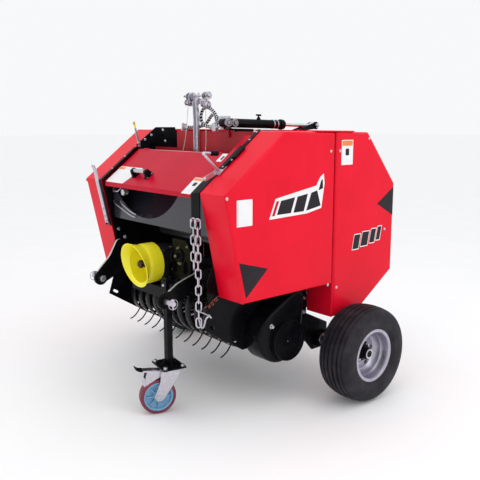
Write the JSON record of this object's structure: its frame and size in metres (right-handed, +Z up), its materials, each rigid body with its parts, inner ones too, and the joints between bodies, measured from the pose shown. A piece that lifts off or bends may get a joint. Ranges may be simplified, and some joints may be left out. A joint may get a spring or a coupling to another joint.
{
  "type": "mini round baler",
  "caption": "Towed mini round baler: folded side shields, tined pick-up, roller chamber, tailgate with lift cylinder, yellow shaft guard, caster stand.",
  "frame": {"origin": "on the ground, under the middle of the machine's outline", "axes": "+X to the machine's side with the chain case, +Y to the tailgate at the rear, +Z up"},
  "size_m": [1.425, 1.1734, 1.307],
  "materials": {
    "red": "gloss powder coat",
    "dark_red": "gloss powder coat in shade",
    "black": "satin black paint",
    "grey": "satin dark grey paint",
    "cast": "painted casting",
    "roller": "rolled steel",
    "zinc": "zinc plated",
    "steel": "machined, oiled",
    "chrome": "hard chrome",
    "rim": "silver lacquer",
    "tyre": "ribbed rubber",
    "yellow": "moulded plastic",
    "hose": "braided hose, black cover",
    "twine": "pale twine",
    "blue": "moulded plastic",
    "urethane": "cast polyurethane"
  },
  "bodies": {
    "chassis": {"shield_front_left": "red", "shield_front_right": "red", "chamber_plate_left": "black", "chamber_plate_right": "black", "front_rollers": "roller", "tailgate_hinge_pins": "zinc", "well_wall": "dark_red", "barrel_bracket": "black", "twine_box": "grey", "lid_hinge_rod": "zinc", "cross_beam": "black", "hitch_arm_left": "black", "hitch_arm_right": "black", "gearbox": "cast", "guard_saddle": "black", "shaft_guard": "yellow", "stripper_bands": "black", "chain_case": "black", "axle_beam": "black", "axle_arms": "black", "stand_sleeve": "black", "twine_guide": "zinc", "hood_strips": "black", "hood_post": "black", "twine_stop_plate": "black", "bale_pointer": "black", "twine_crank": "zinc", "twine_lever": "zinc", "lift_chain": "zinc", "hose_ports": "zinc", "hose_upper": "hose", "hose_lower": "hose", "twine_left": "twine", "twine_right": "twine"},
    "tailgate": {"tailgate_shield_left": "red", "tailgate_shield_right": "red", "tailgate_plate_left": "black", "tailgate_plate_right": "black", "rear_rollers": "roller", "tailgate_cover": "red", "tailgate_hinge_arms": "black", "rod_bracket": "black"},
    "lid": {"lid": "red", "lid_handle": "black"},
    "barrel": {"cylinder_barrel": "black"},
    "rod": {"cylinder_rod": "chrome"},
    "input_shaft": {"input_shaft": "steel"},
    "reel": {"pickup_reel": "black"},
    "wheel_left": {"tyre_left": "tyre", "rim_left": "rim", "hub_left": "black"},
    "wheel_right": {"tyre_right": "tyre", "rim_right": "rim", "hub_right": "black"},
    "stand": {"stand_post": "black"},
    "caster": {"caster_fork": "zinc"},
    "caster_wheel": {"caster_tread": "urethane", "caster_core": "blue"}
  },
  "joints": [
    {"name": "tailgate_hinge", "type": "hinge", "parent": "chassis", "child": "tailgate", "pos_m": [0, 0.04568, 1.105], "axis": [1, 0, 0], "range_deg": [0, 60]},
    {"name": "barrel_pivot", "type": "hinge", "parent": "chassis", "child": "barrel", "pos_m": [0.235, -0.16632, 1.174], "axis": [1, 0, 0], "range_deg": [0, 38]},
    {"name": "rod_slide", "type": "slide", "parent": "barrel", "child": "rod", "axis": [0, 0.9997, -0.023], "range_m": [-0.1315, 0]},
    {"name": "lid_hinge", "type": "hinge", "parent": "chassis", "child": "lid", "pos_m": [0, -0.20132, 1.04833], "axis": [-1, 0, 0], "range_deg": [0, 105]},
    {"name": "shaft_turn", "type": "hinge", "parent": "chassis", "child": "input_shaft", "pos_m": [0, -0.40432, 0.585], "axis": [0, 1, 0], "continuous": true},
    {"name": "reel_turn", "type": "hinge", "parent": "chassis", "child": "reel", "pos_m": [0, -0.16432, 0.375], "axis": [1, 0, 0], "continuous": true},
    {"name": "wheel_left_turn", "type": "hinge", "parent": "chassis", "child": "wheel_left", "pos_m": [-0.632, 0.26568, 0.206], "axis": [1, 0, 0], "continuous": true},
    {"name": "wheel_right_turn", "type": "hinge", "parent": "chassis", "child": "wheel_right", "pos_m": [0.632, 0.26568, 0.206], "axis": [1, 0, 0], "continuous": true},
    {"name": "stand_slide", "type": "slide", "parent": "chassis", "child": "stand", "axis": [0, 0, 1], "range_m": [-0.08, 0.04]},
    {"name": "caster_swivel", "type": "hinge", "parent": "stand", "child": "caster", "pos_m": [0.207, -0.44332, 0.19], "axis": [0, 0, 1], "continuous": true},
    {"name": "caster_roll", "type": "hinge", "parent": "caster", "child": "caster_wheel", "pos_m": [0.1899, -0.49031, 0.075], "axis": [0.9397, -0.342, 0], "continuous": true}
  ],
  "couplings": [
    {"joint": "barrel_pivot", "follows": "tailgate_hinge", "ratio": 0.6157},
    {"joint": "rod_slide", "follows": "tailgate_hinge", "m_per_rad": -0.1252}
  ]
}
